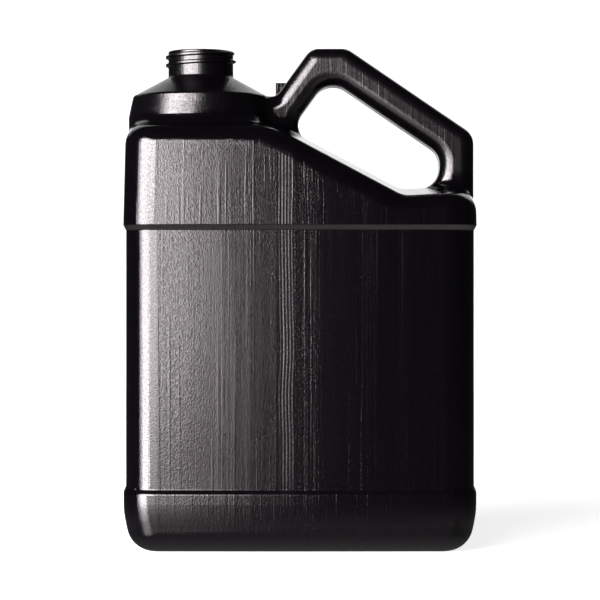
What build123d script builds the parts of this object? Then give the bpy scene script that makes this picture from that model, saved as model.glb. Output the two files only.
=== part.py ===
from build123d import *
from math import cos, hypot, pi, radians, sin, tan
import os

os.makedirs("parts", exist_ok=True)

# A one-gallon F-style jug, blow moulded in one piece, with a hollow handle and an open threaded neck.
# X runs across the wide front, Y from front to back, Z up. The origin is the middle of the foot.
# The mould parts on the plane Y = 0.

# wall of the moulding
wall = 1.0

# plan of the body: a rounded rectangle with bowed sides, which draws in or out a little on the way up
body_width = 184.2
body_depth = 115.5
side_bow = 3.0
face_bow = 1.2
corner_radius = 17.0
heel_draw = 4.0
panel_sink = 1.2
upper_flare = 0.2
roof_draw = 1.3

# heights of the band, the label panel, the upper part and the two steps between them
heel_height = 20.0
band_top = 30.0
ledge_height = 2.6
panel_height = 132.0
step_height = 2.6
upper_height = 57.1
taper_spare = 5.9
panel_bottom = band_top + ledge_height
panel_top = panel_bottom + panel_height
upper_bottom = panel_top + step_height
roof_level = upper_bottom + upper_height

# rounding of the body
heel_blend = 50.0
foot_radius = 14.0
ledge_radius = 1.6
step_radius = 0.9
shoulder_radius = 11.0

# drum that carries the neck, close to the left side
drum_height = 12.1
drum_top_radius = 35.8
drum_foot_radius = 38.2
drum_draft = 12.0
drum_side_gap = 0.1
drum_edge_radius = 1.8
drum_blend = 8.0
cone_height = 10.1
roof_half = body_width / 2 - roof_draw
neck_x = drum_foot_radius + drum_side_gap - roof_half
drum_top = roof_level + drum_height
cone_top = drum_top + cone_height

# neck: a 38 mm continuous-thread finish
neck_height = 13.9
neck_radius = 17.2
bore_radius = 15.0
rim_radius = 0.7
neck_root_radius = 1.2
thread_pitch = 4.233
thread_radius = 18.65
thread_root = 1.45
thread_crest = 0.45
thread_sink = 0.6
thread_drop = 8.56
thread_turn = 600.0
thread_fade = 45.0
neck_top = cone_top + neck_height

# roof: level behind the neck, falling to a valley on the right, and crowned from front to back
bend_gap = -0.5
valley_gap = 38.4
post_proud = 0.6
roof_fall = 36.1
roof_rise = 3.2
roof_bend_radius = 40.0
valley_bend_radius = 14.0
crown_angle = 7.0
ridge_radius = 90.0
handle_right = roof_half + post_proud
roof_bend_x = neck_x + drum_foot_radius + bend_gap
valley_x = handle_right - valley_gap
valley = roof_level - roof_fall

# handle: a leg that leans away from the drum, a flat top, a falling bar and an upright post
leg_gap = 3.3
leg_drop = 1.4
leg_rise = 26.3
leg_angle = 54.0
flat_length = 19.3
post_height = 27.9
grip_half = 14.0
grip_radius = 7.0
valley_radius = 4.0
leg_corner_radius = 8.0
top_corner_radius = 9.0
right_corner_radius = 10.0
handle_blend = 6.0
tail = 20.0
bury = 15.2
leg_foot = (neck_x + drum_top_radius + leg_gap, drum_top - leg_drop)
leg_top = (leg_foot[0] + leg_rise / tan(radians(leg_angle)), leg_foot[1] + leg_rise)
bar_start = (leg_top[0] + flat_length, leg_top[1])
bar_end = (handle_right, valley + post_height)

# finger hole, which leaves these thicknesses of handle around it
leg_thickness = 16.4
bar_thickness = 18.4
post_thickness = 17.8
hole_sink = 1.5
hole_radius = 11.0
hole_root_radius = 9.5
hole_foot_radius = 12.0
hole_floor_radius = 20.0
hole_right = handle_right - post_thickness

# recess under the foot, with the weld line of the closed mould across it
push_up = 3.0
push_inset = 21.0
push_slope = 4.0
push_radius = 1.5
weld_length = 112.0
weld_width = 1.6
weld_height = 0.7

# trimmed flash in the notch between the drum and the handle
flash_gap = 0.5
flash_width = 8.9
flash_height = 8.9
flash_root = 2.0
flash_thickness = 1.8


def plan_outline(height, spread, inset):
    """Plan of the body on the level plane at this height, drawn out by the spread."""
    half_x = body_width / 2 + spread - inset
    half_y = body_depth / 2 + spread - inset
    corner_x = half_x - side_bow
    corner_y = half_y - face_bow
    with BuildSketch(Plane.XY.offset(height)) as outline:
        with BuildLine():
            ThreePointArc((-corner_x, -corner_y), (0, -half_y), (corner_x, -corner_y))
            ThreePointArc((corner_x, -corner_y), (half_x, 0), (corner_x, corner_y))
            ThreePointArc((corner_x, corner_y), (0, half_y), (-corner_x, corner_y))
            ThreePointArc((-corner_x, corner_y), (-half_x, 0), (-corner_x, -corner_y))
        make_face()
        fillet(outline.vertices(), corner_radius - inset)
    return outline.sketch


def level_edges(block, height):
    """Edges of a part that lie flat at this height."""
    return block.edges().filter_by(
        lambda e: abs(e.bounding_box().min.Z - height) < 0.01 and abs(e.bounding_box().max.Z - height) < 0.01
    )


def roof_line(x):
    """Height of the roof's ridge before its bends are rounded."""
    if x < roof_bend_x:
        return roof_level
    if x < valley_x:
        return roof_level - roof_fall * (x - roof_bend_x) / (valley_x - roof_bend_x)
    return valley + (x - valley_x) * tan(radians(roof_rise))


def roof_block(inset):
    """Everything below the roof, which is one bent line drawn forward and down on both sides."""
    drop = inset / cos(radians(crown_angle))
    reach = body_width / 2 + corner_radius
    ridge_points = [(x, roof_line(x) - drop) for x in (-reach, roof_bend_x, valley_x, reach)]
    fall = Vector(0, -cos(radians(crown_angle)), -sin(radians(crown_angle)))
    with BuildPart() as block:
        with BuildSketch(Plane.XZ):
            with BuildLine():
                FilletPolyline(*ridge_points, radius=[roof_bend_radius, valley_bend_radius])
                Polyline(ridge_points[-1], (reach, panel_bottom), (-reach, panel_bottom), ridge_points[0])
            make_face()
        extrude(amount=body_depth * 0.6, dir=fall)
        mirror(about=Plane.XZ)
    return block.part


def shoulder_block(inset):
    """Upper part of the body, from the upper step to the roof, with its top edges rounded."""
    with BuildPart() as block:
        add(plan_outline(upper_bottom, upper_flare, inset))
        add(plan_outline(roof_level + taper_spare, -roof_draw, inset))
        loft(ruled=True)
        add(roof_block(inset), mode=Mode.INTERSECT)
        ridge = block.edges().filter_by(
            lambda e: e.bounding_box().size.Y < 0.01 and abs(e.center().Y) < 0.01 and e.bounding_box().size.X > 1
        )
        fillet(ridge, ridge_radius)
        walls = block.faces().filter_by(
            lambda f: f.bounding_box().min.Z < upper_bottom + 0.01 and f.bounding_box().size.Z > 1
        )
        top_edges = ShapeList()
        for face in walls:
            for edge in face.edges():
                raised = edge.bounding_box().min.Z > upper_bottom + 1
                if raised and not any(edge.is_same(known) for known in top_edges):
                    top_edges.append(edge)
        fillet(top_edges, shoulder_radius - inset)
    return block.part


def drum_block(inset):
    """Round drum under the neck: a drafted wall with a cone on top.

    Inside, the cone runs on until it meets the bore.
    """
    wall_foot = drum_top - (drum_foot_radius - drum_top_radius) / tan(radians(drum_draft))
    cone_slope = cone_height / (drum_top_radius - neck_radius)
    mouth_radius = bore_radius if inset else neck_radius
    mouth_height = drum_top + (drum_top_radius - mouth_radius) * cone_slope
    with BuildPart() as block:
        with BuildSketch(Plane.XZ) as profile:
            with BuildLine():
                Polyline(
                    (neck_x - drum_foot_radius, valley),
                    (neck_x + drum_foot_radius, valley),
                    (neck_x + drum_foot_radius, wall_foot),
                    (neck_x + drum_top_radius, drum_top),
                    (neck_x + mouth_radius, mouth_height),
                    (neck_x - mouth_radius, mouth_height),
                    (neck_x - drum_top_radius, drum_top),
                    (neck_x - drum_foot_radius, wall_foot),
                    close=True,
                )
            make_face()
            drum_edges = profile.vertices().sort_by(Axis.Y)[4:6]
            fillet(drum_edges, drum_edge_radius)
            if inset:
                offset(amount=-inset, kind=Kind.INTERSECTION)
            split(bisect_by=Plane.YZ.offset(neck_x), keep=Keep.TOP)
        revolve(axis=Axis((neck_x, 0, 0), (0, 0, 1)))
    return block.part


def corner_at(sketch, point):
    """Corner of a sketch on the parting plane nearest to this point."""
    return sketch.vertices().sort_by_distance(Vector(*point, 0))[0]


def rims(shapes, half):
    """Edges of a flat slab that lie on its two faces."""
    return shapes.filter_by(
        lambda e: e.bounding_box().size.Y < 0.01 and abs(abs(e.center().Y) - half) < 0.01
    )


def inner_line(start, end, thickness):
    """Slope and height at x = 0 of the line that runs this far to the right of start to end."""
    run, rise = end[0] - start[0], end[1] - start[1]
    length = hypot(run, rise)
    x = start[0] + thickness * rise / length
    z = start[1] - thickness * run / length
    return rise / run, z - x * rise / run


def hole_corners():
    """Corners of the finger hole, clockwise from the root of the leg."""
    leg_slope, leg_zero = inner_line(leg_foot, leg_top, leg_thickness)
    bar_slope, bar_zero = inner_line(bar_start, bar_end, bar_thickness)
    roof_slope = roof_fall / (roof_bend_x - valley_x)
    floor_zero = valley - hole_sink - roof_slope * valley_x
    root_x = (floor_zero - leg_zero) / (leg_slope - roof_slope)
    peak_x = (bar_zero - leg_zero) / (leg_slope - bar_slope)
    return [
        (root_x, leg_zero + leg_slope * root_x),
        (peak_x, leg_zero + leg_slope * peak_x),
        (hole_right, bar_zero + bar_slope * hole_right),
        (hole_right, roof_line(hole_right) - hole_sink),
        (valley_x, valley - hole_sink),
    ]


def handle_block(inset):
    """Handle as a slab on the parting plane, with its outline and its finger hole rounded over."""
    half = grip_half - inset
    radius = grip_radius - inset
    tail_x = neck_x + tail
    buried_foot = valley - bury
    with BuildPart() as block:
        with BuildSketch(Plane.XZ) as outline:
            with BuildLine():
                Polyline(
                    (tail_x, leg_foot[1]),
                    leg_foot,
                    leg_top,
                    bar_start,
                    bar_end,
                    (handle_right, buried_foot),
                    (tail_x, buried_foot),
                    close=True,
                )
            make_face()
            fillet(corner_at(outline, leg_foot), valley_radius)
            fillet(corner_at(outline, leg_top), leg_corner_radius)
            fillet(corner_at(outline, bar_start), top_corner_radius)
            fillet(corner_at(outline, bar_end), right_corner_radius)
            if inset:
                offset(amount=-inset, kind=Kind.INTERSECTION)
        extrude(amount=half, both=True)
        upper_rims = rims(block.edges(), half).filter_by(
            lambda e: e.bounding_box().max.Z > buried_foot + 2 and e.bounding_box().max.X > tail_x + 2
        )
        fillet(upper_rims, radius)
        corners = hole_corners()
        corner_radii = [hole_root_radius, hole_radius, hole_radius, hole_foot_radius, hole_floor_radius]
        with BuildSketch(Plane.XZ) as hole:
            with BuildLine():
                Polyline(*corners, close=True)
            make_face()
            for corner, corner_fillet in zip(corners, corner_radii):
                fillet(corner_at(hole, corner), corner_fillet)
            if inset:
                offset(amount=inset)
        extrude(amount=half, both=True, mode=Mode.SUBTRACT)
        fillet(rims(block.edges(Select.LAST), half), radius)
    return block.part


def seam_edges(whole, first, second):
    """Edges of the whole that lie on both of the pieces it was joined from."""
    seams = ShapeList()
    for edge in whole.edges():
        points = [Vertex(*(edge @ part)) for part in (0.15, 0.5, 0.85)]
        on_first = all(first.distance_to(point) < 0.001 for point in points)
        if on_first and all(second.distance_to(point) < 0.001 for point in points):
            seams.append(edge)
    return seams


def lower_block(inset):
    """Heel, base band, label panel and the two steps, up to the start of the upper part."""
    with BuildPart() as block:
        add(plan_outline(inset, -heel_draw, inset))
        add(plan_outline(heel_height, 0, inset))
        loft(ruled=True)
        add(plan_outline(heel_height, 0, inset))
        extrude(amount=band_top - heel_height)
        fillet(level_edges(block, heel_height), heel_blend)
        fillet(level_edges(block, inset), foot_radius - inset)
        add(plan_outline(band_top, 0, inset))
        add(plan_outline(panel_bottom, -panel_sink, inset))
        loft(ruled=True)
        add(plan_outline(panel_bottom, -panel_sink, inset))
        extrude(amount=panel_height)
        fillet(level_edges(block, band_top), ledge_radius)
        fillet(level_edges(block, panel_bottom), step_radius)
        add(plan_outline(panel_top, -panel_sink, inset))
        add(plan_outline(upper_bottom, upper_flare, inset))
        loft(ruled=True)
        fillet(level_edges(block, panel_top), step_radius)
        add(plan_outline(0, -push_inset, -inset))
        add(plan_outline(push_up + inset, -push_inset - push_slope, -inset))
        loft(ruled=True, mode=Mode.SUBTRACT)
        fillet(level_edges(block, push_up + inset), push_radius + inset)
    return block.part


def jug_form(inset):
    """Closed form of the jug below the neck, drawn in from the outside by the inset.

    The plastic gathers where the handle joins the body, so the two blends there are outside only.
    """
    shoulder = shoulder_block(inset)
    drum = drum_block(inset)
    handle = handle_block(inset)
    with BuildPart() as top:
        add(shoulder)
        add(drum)
        fillet(seam_edges(top.part, shoulder, drum), drum_blend)
    drummed = top.part
    with BuildPart() as form:
        add(drummed)
        add(handle)
        if not inset:
            seams = seam_edges(form.part, drummed, handle)
            fillet(seams.filter_by(lambda e: e.center().X > valley_x), handle_blend)
            seams = seam_edges(form.part, drummed, handle)
            fillet(seams.filter_by(lambda e: e.center().X < valley_x), handle_blend)
        add(lower_block(inset))
        fillet(level_edges(form, upper_bottom), step_radius)
    return form.part


def thread_plane(angle):
    """Plane across the thread at this angle, counted from the back, with x pointing outwards."""
    turn = radians(angle + 90)
    height = neck_top - thread_drop + thread_pitch * angle / 360
    outward = Vector(cos(turn), sin(turn), 0)
    along = Vector(-sin(turn) * 2 * pi * thread_radius, cos(turn) * 2 * pi * thread_radius, thread_pitch)
    return Plane(origin=(neck_x, 0, height), x_dir=outward, z_dir=along.normalized())


def thread_section(angle, height):
    """Section of the thread: height is how far its crest stands out, as a share of the full depth."""
    crest = neck_radius + (thread_radius - neck_radius) * height
    root = neck_radius - thread_sink
    with BuildSketch(thread_plane(angle)) as section:
        with BuildLine():
            Polyline(
                (root, -thread_root),
                (crest, -thread_crest),
                (crest, thread_crest),
                (root, thread_root),
                close=True,
            )
        make_face()
    return section.sketch


def thread_fade_out(first_angle, last_angle):
    """End of the thread, which sinks into the neck between these two angles."""
    with BuildPart() as run_out:
        for share, height in ((0, 1.0), (0.33, 0.78), (0.66, 0.4), (1.0, -0.12)):
            add(thread_section(first_angle + share * (last_angle - first_angle), height))
        loft()
    return run_out.part


# thread: a sweep along its helix, with a run-out at each end
lower_run_out = thread_fade_out(0, -thread_fade)
upper_run_out = thread_fade_out(thread_turn, thread_turn + thread_fade)
helix = Helix(
    pitch=thread_pitch,
    height=thread_pitch * thread_turn / 360,
    radius=thread_radius,
)
thread_line = helix.rotate(Axis.Z, 90).translate((neck_x, 0, neck_top - thread_drop))
with BuildPart() as thread:
    add(thread_section(0, 1))
    sweep(path=thread_line, is_frenet=True)

# jug: the outer form and the neck, hollowed by the inner form and the bore
outside = jug_form(0)
inside = jug_form(wall)
with BuildPart() as jug:
    add(outside)
    with BuildSketch(Plane.XY.offset(drum_top)):
        with Locations((neck_x, 0)):
            Circle(neck_radius)
    extrude(amount=neck_top - drum_top)
    add(inside, mode=Mode.SUBTRACT)
    with BuildSketch(Plane.XY.offset(drum_top)):
        with Locations((neck_x, 0)):
            Circle(bore_radius)
    extrude(amount=neck_top - drum_top, mode=Mode.SUBTRACT)
    fillet(level_edges(jug, neck_top), rim_radius)
    fillet(level_edges(jug, cone_top).filter_by(GeomType.CIRCLE), neck_root_radius)
    with BuildSketch(Plane.XZ):
        with Locations((leg_foot[0] + flash_gap, leg_foot[1] - flash_root)):
            Rectangle(flash_width, flash_height + flash_root, align=(Align.MIN, Align.MIN))
    extrude(amount=flash_thickness / 2, both=True)
    with Locations((0, 0, push_up)):
        Box(weld_length, weld_width, 2 * weld_height)
    add(thread.part)
    add(lower_run_out)
    add(upper_run_out)

jug.part.label = "jug"
export_step(jug.part, "parts/jug.step")
print("jug", jug.part.is_valid, "solids", len(jug.solids()))
print("plastic, cm3", round(jug.part.volume / 1000, 1))
print("inside below the neck, litres", round(inside.volume / 1e6, 3))
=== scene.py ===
# %% [markdown]
# # A black F-style jug
# The object is one blow-moulded jug of near-black plastic. Its shape comes ready from the imported solid,
# so this scene opens that solid first.

# %% Load the frame
import bpy
from math import cos, pi, radians, sin, tan
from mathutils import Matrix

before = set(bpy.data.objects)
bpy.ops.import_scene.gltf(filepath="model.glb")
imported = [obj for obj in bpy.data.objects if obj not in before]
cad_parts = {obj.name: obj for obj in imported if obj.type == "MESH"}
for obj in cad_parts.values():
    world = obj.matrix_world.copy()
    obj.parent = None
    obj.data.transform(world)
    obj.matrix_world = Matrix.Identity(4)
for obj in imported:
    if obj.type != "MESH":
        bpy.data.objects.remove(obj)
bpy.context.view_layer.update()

# %% [markdown]
# ## Camera
# A product picture like this one is taken from far away with a long lens, level with the middle of the
# object, so that upright edges stay upright. A near camera could show the same width, but it would look up at
# the neck and down at the foot, which the photograph doesn't. At 1.3 m a frame 318 mm wide needs a 147 mm lens.

# %% Camera
camera_distance = 1.30
camera_height = 0.1289
frame_width = 0.318
sensor_width = 36.0
camera_data = bpy.data.cameras.new("camera")
camera_data.sensor_width = sensor_width
camera_data.lens = sensor_width * camera_distance / frame_width
camera_data.clip_end = 50.0
camera = bpy.data.objects.new("camera", camera_data)
camera.location = (0.0, -camera_distance, camera_height)
camera.rotation_euler = (radians(90), 0, 0)
bpy.context.scene.collection.objects.link(camera)
bpy.context.scene.camera = camera
bpy.context.scene.view_settings.view_transform = "Standard"
print("lens, mm:", round(camera_data.lens, 1))

# %% [markdown]
# ## Node helpers
# Every finish below is a small chain of shader nodes. Placed by hand, each node is added, set and linked in
# the shader editor. In code a few helpers do the same and keep the chains readable: a socket takes either a
# number or the output of another node, and the usual sums have names of their own.


# %% Node helpers
def new_material(name):
    material = bpy.data.materials.new(name)
    material.use_nodes = True
    material.node_tree.nodes.clear()
    return material, material.node_tree


def node(tree, kind, inputs=None, **settings):
    """Add a node with its settings. Each input is a number, a colour or another node's output."""
    made = tree.nodes.new(kind)
    for name, value in settings.items():
        setattr(made, name, value)
    for socket, value in (inputs or {}).items():
        if isinstance(value, bpy.types.NodeSocket):
            tree.links.new(value, made.inputs[socket])
        else:
            made.inputs[socket].default_value = value
    return made


def show(tree, shader):
    """Make a shader the surface of its material."""
    node(tree, "ShaderNodeOutputMaterial", {"Surface": shader})


print("helpers for nodes: new_material, node, show")


# %% Helpers for sums
def work_out(tree, operation, first, second=0.0):
    return node(tree, "ShaderNodeMath", {0: first, 1: second}, operation=operation).outputs[0]


def product(tree, first, *others):
    for other in others:
        first = work_out(tree, "MULTIPLY", first, other)
    return first


def add_share(tree, base, value, share):
    """The base plus a share of the value."""
    return work_out(tree, "ADD", base, product(tree, value, share))


def stretch_range(tree, value, source, target):
    """Map one range to another along a soft curve, and stop at its two ends."""
    numbers = {"Value": value, "From Min": source[0], "From Max": source[1]}
    numbers.update({"To Min": target[0], "To Max": target[1]})
    return node(tree, "ShaderNodeMapRange", numbers, interpolation_type="SMOOTHSTEP").outputs["Result"]


def fade_in(tree, value, ends):
    return stretch_range(tree, value, ends, (0.0, 1.0))


def fade_out(tree, value, ends):
    return stretch_range(tree, value, ends, (1.0, 0.0))


print("helpers for sums: work_out, product, add_share, stretch_range, fade_in, fade_out")

# %% [markdown]
# ## Lines and grain in the plastic
# The tube of melt is scored by the die before it is blown, so the real jug has upright lines all round. They
# come in bands, some deep and many faint, and a few stand alone as thin ridges. The blasted mould adds a fine
# even grain. All this could be cut into the mesh, but it would take millions of faces, so it is bump. The
# lines are noise that is stretched more than a hundred times along the height, and the grain is noise
# without the stretch. Both read Object coordinates, so they sit still on the jug.

# %% Lines and grain
plastic, tree = new_material("jug_plastic")
place = node(tree, "ShaderNodeTexCoord").outputs["Object"]
height_stretch = 0.008
mapping = {"Vector": place, "Scale": (1.0, 1.0, height_stretch)}
upright = node(tree, "ShaderNodeMapping", mapping).outputs["Vector"]


def noise(vector, scale, detail):
    numbers = {"Vector": vector, "Scale": scale, "Detail": detail}
    return node(tree, "ShaderNodeTexNoise", numbers).outputs["Fac"]


die_lines = noise(upright, scale=1250.0, detail=2.0)
bands = stretch_range(tree, noise(upright, scale=70.0, detail=1.0), (0.42, 0.66), (0.16, 0.80))
lone_ridges = stretch_range(tree, noise(upright, scale=620.0, detail=0.0), (0.65, 0.77), (0.0, 0.24))
grain = noise(place, scale=1350.0, detail=2.0)
print("lines are stretched along the height", round(1 / height_stretch), "times")

# %% [markdown]
# ## Where the lines are deepest
# The melt is stretched least at the top, so the neck, the drum under it and the handle keep the deepest
# lines. Painted weights on the mesh could mark those places. Here soft limits on the coordinates do, because
# they are few: one set for the neck and its drum, and one for the handle, which lies above the falling roof.

# %% Where the lines are deepest
# Each pair says where a fade starts and where it is complete, in metres.
drum_right, drum_foot = (-0.020, -0.012), (0.224, 0.228)
handle_left, handle_foot, roof_ridge = (-0.010, -0.004), (0.192, 0.198), (0.219, 0.225)
roof_fall = 0.53
extra_depth = 0.6

across, back, height = node(tree, "ShaderNodeSeparateXYZ", {"Vector": place}).outputs
above_roof = fade_in(tree, add_share(tree, height, across, roof_fall), roof_ridge)
right_of_drum = fade_in(tree, across, handle_left)
on_handle = product(tree, above_roof, right_of_drum, fade_in(tree, height, handle_foot))
on_drum = product(tree, fade_out(tree, across, drum_right), fade_in(tree, height, drum_foot))
on_top = work_out(tree, "ADD", on_handle, on_drum)
line_depth = add_share(tree, bands, on_top, extra_depth)
line_height = work_out(tree, "ADD", product(tree, die_lines, line_depth), lone_ridges)
print("lines are deeper on the drum above, m:", drum_foot, "and on the handle above, m:", handle_foot)

# %% [markdown]
# ## The bundle of deep lines
# Left of the middle of the front, a few deep lines run side by side from the shoulder to the base band. More
# noise would not set them so evenly, so a sine wave across the jug gives the ridges. A soft mask keeps about
# four of them on the front alone, and a slow noise along the height lets them sway, as soft plastic does
# while it is blown. The grain is weaker there, because the photograph shows the bundle smoother.

# %% The bundle of deep lines
bundle_x = -0.0072
ridge_spacing = 0.00165
sway_scale, sway_reach = 14.0, 0.0035
bundle_side, bundle_top, bundle_foot = (0.0022, 0.0050), (0.200, 0.212), (0.010, 0.045)
bundle_depth = 0.20
grain_lost = 0.6

sway_numbers = {"W": height, "Scale": sway_scale, "Detail": 1.0}
sway_noise = node(tree, "ShaderNodeTexNoise", sway_numbers, noise_dimensions="1D").outputs["Fac"]
sway = product(tree, work_out(tree, "SUBTRACT", sway_noise, 0.5), sway_reach)
from_bundle = work_out(tree, "SUBTRACT", across, work_out(tree, "ADD", sway, bundle_x))
ridges = work_out(tree, "SINE", product(tree, from_bundle, 2 * pi / ridge_spacing))
near_bundle = fade_out(tree, work_out(tree, "ABSOLUTE", from_bundle), bundle_side)
between_bands = product(tree, fade_out(tree, height, bundle_top), fade_in(tree, height, bundle_foot))
on_front = work_out(tree, "LESS_THAN", back, 0.0)
mask = product(tree, near_bundle, between_bands, on_front)
marks = work_out(tree, "ADD", line_height, product(tree, mask, bundle_depth, ridges))
grain_share = work_out(tree, "SUBTRACT", 1.0, product(tree, mask, grain_lost))
grain_height = product(tree, grain, grain_share)
print("bundle of lines at x, mm:", bundle_x * 1000)

# %% [markdown]
# ## Jug plastic
# Black polyethylene has almost no colour of its own, so nearly all that the eye sees is its reflection. The
# base is near black with a slight warm violet tint. A low roughness with a fine bump spreads the soft boxes
# over a few degrees and lets them fall off quickly, as the photograph shows. A high roughness would veil the
# dark side with grey. The neck with its drum, the handle and the bundle are duller than the rest, and so are
# the lines, a little. The pits of the grain mirror less than its peaks, so the grain also shows in an even
# reflection.

# %% Jug plastic
line_bump_depth = 0.00006
grain_bump_depth = 0.00005
duller_on_top = 0.10
duller_in_bundle = 0.07


def bump(relief, depth, **under):
    numbers = {"Strength": 1.0, "Distance": depth, "Height": relief, **under}
    return node(tree, "ShaderNodeBump", numbers).outputs["Normal"]


shades = {"Factor": die_lines, "A": (0.0004, 0.00025, 0.0005, 1), "B": (0.0014, 0.0009, 0.0016, 1)}
colour = node(tree, "ShaderNodeMix", shades, data_type="RGBA").outputs["Result"]
dullness = stretch_range(tree, marks, (0.0, 1.0), (0.10, 0.13))
dullness = add_share(tree, dullness, on_top, duller_on_top)
dullness = add_share(tree, dullness, mask, duller_in_bundle)
pits = stretch_range(tree, grain, (0.32, 0.68), (0.40, 0.60))
relief = bump(grain_height, grain_bump_depth, Normal=bump(marks, line_bump_depth))

gloss = {"IOR": 1.60, "Specular Tint": (1.0, 0.93, 0.96, 1), "Specular IOR Level": pits}
skin = {"Base Color": colour, "Roughness": dullness, "Normal": relief}
show(tree, node(tree, "ShaderNodeBsdfPrincipled", {**gloss, **skin}).outputs["BSDF"])

jug = bpy.data.objects["jug"]
for slot in jug.material_slots:
    slot.material = plastic
print("jug faces:", len(jug.data.polygons))

# %% [markdown]
# ## Studio white
# The jug stands on a white table in front of white cards. More light would make them white too, but it would
# also lift the black of the jug. So they are ordinary matt surfaces, which take the jug's shadow, with a glow
# that only the camera and a mirrored ray see, each at a strength of its own.


# %% Studio white
def glowing_matt(tree, path, paint, seen=1.0, mirrored=1.0):
    """Matt paint with one glow for the camera and another for a mirrored ray."""
    seen_glow = product(tree, path.outputs["Is Camera Ray"], seen)
    mirrored_glow = product(tree, path.outputs["Is Glossy Ray"], mirrored)
    strength = work_out(tree, "ADD", seen_glow, mirrored_glow)
    glow = node(tree, "ShaderNodeEmission", {"Strength": strength}).outputs["Emission"]
    matt = node(tree, "ShaderNodeBsdfDiffuse", {"Color": paint}).outputs["BSDF"]
    return node(tree, "ShaderNodeAddShader", {0: glow, 1: matt}).outputs["Shader"]


def stage_plane(name, size, place, turn, material):
    bpy.ops.object.select_all(action="DESELECT")
    bpy.ops.mesh.primitive_plane_add(size=1.0, location=place, rotation=turn)
    plane = bpy.context.object
    plane.name = name
    plane.scale = size
    bpy.ops.object.transform_apply(location=True, rotation=True, scale=True)
    plane.data.materials.append(material)
    print(name, "metres:", [round(v, 2) for v in plane.dimensions])


print("helpers for the studio: glowing_matt, stage_plane")

# %% [markdown]
# ## Floor
# To the camera the table is white. Its own glow is weaker near the jug, where the light of the lamps comes on
# top. The jug mirrors the table too, and the jug's shadow is painted into that mirrored glow: dim close to its
# foot and brighter further out. A shiny table also mirrors the soft boxes, the more the flatter a ray meets it.
# A glossy material would do that by itself, but it would also show a mirror image of the jug, which the
# photograph doesn't. So the mirrored glow gets weaker as the ray gets flatter, and a Fresnel node lets a
# growing share of the ray through to the lower halves of the boxes.

# %% Floor: its glow
jug_half_width, jug_half_depth = 0.092, 0.058
seen_near, seen_far, seen_levels = 0.15, 0.60, (0.84, 1.0)
# The low mirrored level near the jug is a painted shadow of the jug on the table.
mirrored_near, mirrored_far, mirrored_levels = 0.0, 0.04, (0.25, 0.90)
least_mirrored = 0.05

white_table, table = new_material("white_table")
table_place = node(table, "ShaderNodeTexCoord").outputs["Object"]
table_x, table_y, _ = node(table, "ShaderNodeSeparateXYZ", {"Vector": table_place}).outputs
beside = work_out(table, "SUBTRACT", work_out(table, "ABSOLUTE", table_x), jug_half_width)
before = work_out(table, "SUBTRACT", work_out(table, "ABSOLUTE", table_y), jug_half_depth)
away = work_out(table, "MAXIMUM", beside, before)
seen = stretch_range(table, away, (seen_near, seen_far), seen_levels)
# Painted shadow in the table's mirrored glow: dim at the jug's foot, brighter further out.
glow_with_painted_shadow = stretch_range(table, away, (mirrored_near, mirrored_far), mirrored_levels)
slant = node(table, "ShaderNodeLayerWeight", {"Blend": 0.5}).outputs["Facing"]
steep_share = work_out(table, "POWER", work_out(table, "SUBTRACT", 1.0, slant), 2.0)
mirrored = work_out(table, "ADD", product(table, glow_with_painted_shadow, steep_share), least_mirrored)
print("table's glow in a reflection:", mirrored_levels, "up to", mirrored_far, "m from the jug")

# %% Floor: its paint and its gloss
table_grey = 0.7
table_ior = 1.5
floor_drop = 0.0002
path = node(table, "ShaderNodeLightPath")
glossy_ray = path.outputs["Is Glossy Ray"]
paint = product(table, work_out(table, "SUBTRACT", 1.0, glossy_ray), table_grey)
lit = glowing_matt(table, path, paint, seen, mirrored)
open_ray = work_out(table, "MAXIMUM", glossy_ray, path.outputs["Is Shadow Ray"])
open_share = product(table, node(table, "ShaderNodeFresnel", {"IOR": table_ior}).outputs["Fac"], open_ray)
clear = node(table, "ShaderNodeBsdfTransparent").outputs["BSDF"]
show(table, node(table, "ShaderNodeMixShader", {"Fac": open_share, 1: lit, 2: clear}).outputs["Shader"])
stage_plane("floor", (6.0, 6.0, 1.0), (0, 0, -floor_drop), (0, 0, 0), white_table)

# %% [markdown]
# ## Backdrop cards
# A low card stands straight behind the jug, and two larger ones hang higher at the left and right. The camera
# can't tell them from the white room, but the jug's edges mirror them. One wide card would be simpler, but the
# left one has to be dimmer in a reflection than the others, because the photograph shows the cone under the
# neck dark at its left side.

# %% Backdrop cards
card_grey = (0.3, 0.3, 0.3, 1)
card_behind = 2.2
low_size, low_middle = (1.2, 1.1, 1.0), 0.55
high_size, high_middle = (1.4, 1.4, 1.0), 1.7


def card_material(name, mirrored):
    material, tree = new_material(name)
    path = node(tree, "ShaderNodeLightPath")
    show(tree, glowing_matt(tree, path, card_grey, mirrored=mirrored))
    return material


white_card = card_material("white_card", mirrored=1.0)
dim_card = card_material("dim_card", mirrored=0.55)
facing_camera = (radians(90), 0, 0)
stage_plane("backdrop", low_size, (0, card_behind, low_middle), facing_camera, white_card)
for side, x, card in (("left", -1.0, dim_card), ("right", 1.0, white_card)):
    stage_plane("backdrop_" + side, high_size, (x, card_behind, high_middle), facing_camera, card)

# %% [markdown]
# ## Room
# The room is dark apart from the lamps, and the camera sees plain white behind the table. A white room for
# every ray would be simpler, but the dark one is what keeps the right half of the jug and its edges black.

# %% Room
room_level = (0.02, 0.02, 0.021, 1)
world = bpy.data.worlds.new("studio")
world.use_nodes = True
bpy.context.scene.world = world
room = world.node_tree
background = room.nodes["Background"]
background.inputs["Color"].default_value = room_level
white = node(room, "ShaderNodeBackground", {"Color": (1, 1, 1, 1)})
seen_by_camera = node(room, "ShaderNodeLightPath").outputs["Is Camera Ray"]
layers = {"Fac": seen_by_camera, 1: background.outputs["Background"], 2: white.outputs["Background"]}
mix = node(room, "ShaderNodeMixShader", layers)
room.links.new(mix.outputs["Shader"], room.nodes["World Output"].inputs["Surface"])
print("room level:", room_level[:3])

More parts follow.
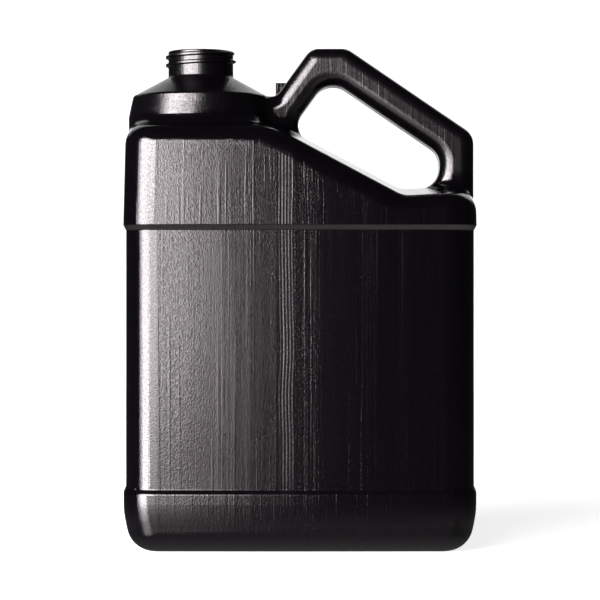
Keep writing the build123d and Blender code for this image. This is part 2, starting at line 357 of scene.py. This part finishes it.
# %% [markdown]
# ## Light
# One tall soft box stands at the left and draws the white line down the left corner, with a weak strip at
# its outer side as its soft edge. A wider and weaker panel fills the space between it and the camera. Its
# right edge stands just left of the camera, which is why the front face fades from grey to black, and a
# faint strip beside it softens that edge. A second panel over its upper part lights the neck, the drum and
# the handle, whose faces look further up. One big lamp would light the jug as well, but each of these
# stripes is a mirror image, so every box has the place and the width of what the photograph shows.
#
# The side box, the front panel and the two strips also reach below the table's height. Those parts are what
# the shiny table mirrors. The side box is brighter there than above, and the front panel weaker, as the
# rounded heel in the photograph shows.


# %% Soft box helper
def panel(name, azimuths, heights, distance, radiance):
    """Soft box that spans two angles left of the camera, as the jug sees it, at an even brightness."""
    start, end = map(radians, azimuths)
    bottom, top = heights
    middle = (start + end) / 2
    width = 2 * distance * tan((end - start) / 2)
    data = bpy.data.lights.new(name, "AREA")
    data.shape = "RECTANGLE"
    data.size = width
    data.size_y = top - bottom
    data.energy = radiance * pi * width * (top - bottom)
    lamp = bpy.data.objects.new(name, data)
    lamp.location = (-distance * sin(middle), -distance * cos(middle), (top + bottom) / 2)
    lamp.rotation_euler = (radians(90), 0, -middle)
    lamp.visible_camera = False
    bpy.context.scene.collection.objects.link(lamp)
    print(name, "width", round(width, 2), "height", round(top - bottom, 2), "power", round(data.energy, 1))


print("helper for the soft boxes: panel")

# %% Soft boxes
side_span, side_edge_span, side_distance = (34.5, 58), (58, 66), 1.3
front_span, front_edge_span, front_distance = (6.4, 34.5), (2, 6.4), 1.5
high_span, high_foot = (12, 34.5), 0.30
box_top = 1.05
upper, lower, whole = (0, box_top), (-box_top, 0), (-box_top, box_top)
panel("side_box", side_span, upper, side_distance, radiance=19)
panel("side_box_mirrored", side_span, lower, side_distance, radiance=34)
panel("side_box_edge", side_edge_span, whole, side_distance, radiance=10)
panel("front_panel", front_span, upper, front_distance, radiance=10.3)
panel("front_panel_mirrored", front_span, lower, front_distance, radiance=6.5)
panel("front_panel_edge", front_edge_span, whole, front_distance, radiance=0.3)
panel("high_panel", high_span, (high_foot, box_top), front_distance, radiance=7.5)
